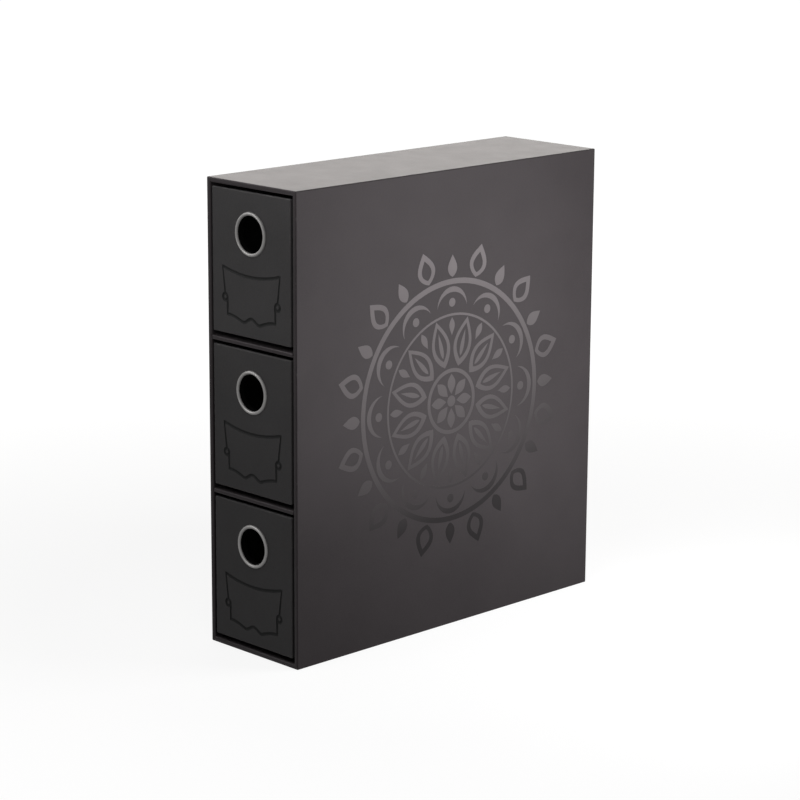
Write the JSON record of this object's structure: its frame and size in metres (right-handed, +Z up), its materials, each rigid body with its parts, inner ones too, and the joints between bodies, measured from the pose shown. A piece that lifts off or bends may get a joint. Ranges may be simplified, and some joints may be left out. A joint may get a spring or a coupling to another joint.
{
  "type": "trading card drawer box",
  "caption": "Tall narrow paper-covered board case with drawers one above the other, each pulled by a metal-ringed finger hole over a pressed label frame.",
  "frame": {"origin": "centre of the base, halfway along the whole depth from the ring crowns to the rear", "axes": "+Z up, -Y towards the drawer fronts, +X to the right of someone who faces the fronts"},
  "size_m": [0.086, 0.2834, 0.316],
  "materials": {
    "case_paper": "grey board covered in black paper with a fine matte laminate",
    "drawer_paper": "grey board covered in black paper with a fine matte laminate",
    "liner_paper": "plain matte black lining paper",
    "ring_nickel": "satin nickel-plated sheet",
    "washer_steel": "plain zinc-plated sheet"
  },
  "bodies": {
    "case": {"case_top_panel": "case_paper", "case_base_panel": "case_paper", "case_left_panel": "case_paper", "case_right_panel": "case_paper", "case_back_panel": "case_paper", "upper_shelf": "case_paper", "lower_shelf": "case_paper"},
    "top_drawer": {"top_drawer_front": "drawer_paper", "top_drawer_left_side": "drawer_paper", "top_drawer_right_side": "drawer_paper", "top_drawer_back": "drawer_paper", "top_drawer_floor": "liner_paper", "top_finger_ring": "ring_nickel", "top_ring_washer": "washer_steel"},
    "middle_drawer": {"middle_drawer_front": "drawer_paper", "middle_drawer_left_side": "drawer_paper", "middle_drawer_right_side": "drawer_paper", "middle_drawer_back": "drawer_paper", "middle_drawer_floor": "liner_paper", "middle_finger_ring": "ring_nickel", "middle_ring_washer": "washer_steel"},
    "bottom_drawer": {"bottom_drawer_front": "drawer_paper", "bottom_drawer_left_side": "drawer_paper", "bottom_drawer_right_side": "drawer_paper", "bottom_drawer_back": "drawer_paper", "bottom_drawer_floor": "liner_paper", "bottom_finger_ring": "ring_nickel", "bottom_ring_washer": "washer_steel"}
  },
  "joints": [
    {"name": "top_drawer_slide", "type": "slide", "parent": "case", "child": "top_drawer", "axis": [0, -1, 0], "range_m": [0, 0.235]},
    {"name": "middle_drawer_slide", "type": "slide", "parent": "case", "child": "middle_drawer", "axis": [0, -1, 0], "range_m": [0, 0.235]},
    {"name": "bottom_drawer_slide", "type": "slide", "parent": "case", "child": "bottom_drawer", "axis": [0, -1, 0], "range_m": [0, 0.235]}
  ]
}
